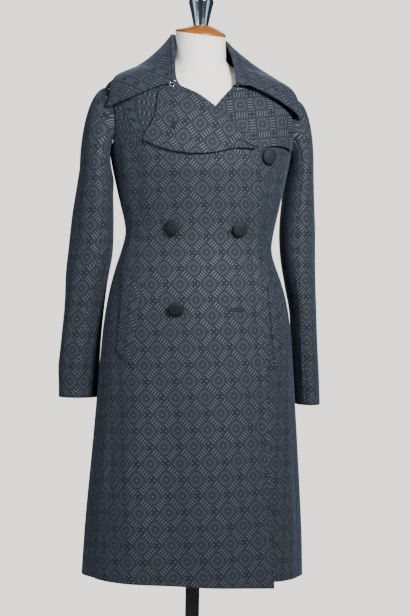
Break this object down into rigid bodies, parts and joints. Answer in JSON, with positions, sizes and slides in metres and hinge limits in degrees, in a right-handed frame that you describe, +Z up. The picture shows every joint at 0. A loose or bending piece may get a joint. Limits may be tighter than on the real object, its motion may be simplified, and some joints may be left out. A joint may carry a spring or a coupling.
{
  "type": "trench coat on dress form",
  "caption": "Long double-breasted trench coat with a wide folded collar and lapels, worn by a limbless dress form on a pole with a round base.",
  "frame": {"origin": "middle of the base's underside, on the floor", "axes": "+Z up, -Y the coat's front, +X the coat's left side"},
  "size_m": [0.5291, 0.38, 1.5576],
  "materials": {
    "coating": "blue-grey figured jacquard, matt with a soft sheen",
    "button_cover": "plain dark satin",
    "hook_metal": "polished",
    "form_cover": "plain cotton jersey",
    "wood": "clear varnish",
    "finial_metal": "polished",
    "black_steel": "satin black"
  },
  "bodies": {
    "root": {"front_right": "coating", "front_left": "coating", "side_right": "coating", "side_left": "coating", "back_right": "coating", "back_left": "coating", "lapel_right": "coating", "lapel_left": "coating", "collar": "coating", "sleeve_right_upper": "coating", "sleeve_right_under": "coating", "sleeve_left_upper": "coating", "sleeve_left_under": "coating", "strap_right": "coating", "strap_left": "coating", "welt_right": "coating", "welt_left": "coating", "button_1": "button_cover", "button_2": "button_cover", "button_3": "button_cover", "button_4": "button_cover", "collar_hook": "hook_metal", "collar_bar": "hook_metal", "form_torso": "form_cover", "neck_cap": "wood", "finial": "finial_metal", "pole": "black_steel", "base": "black_steel"}
  },
  "joints": []
}
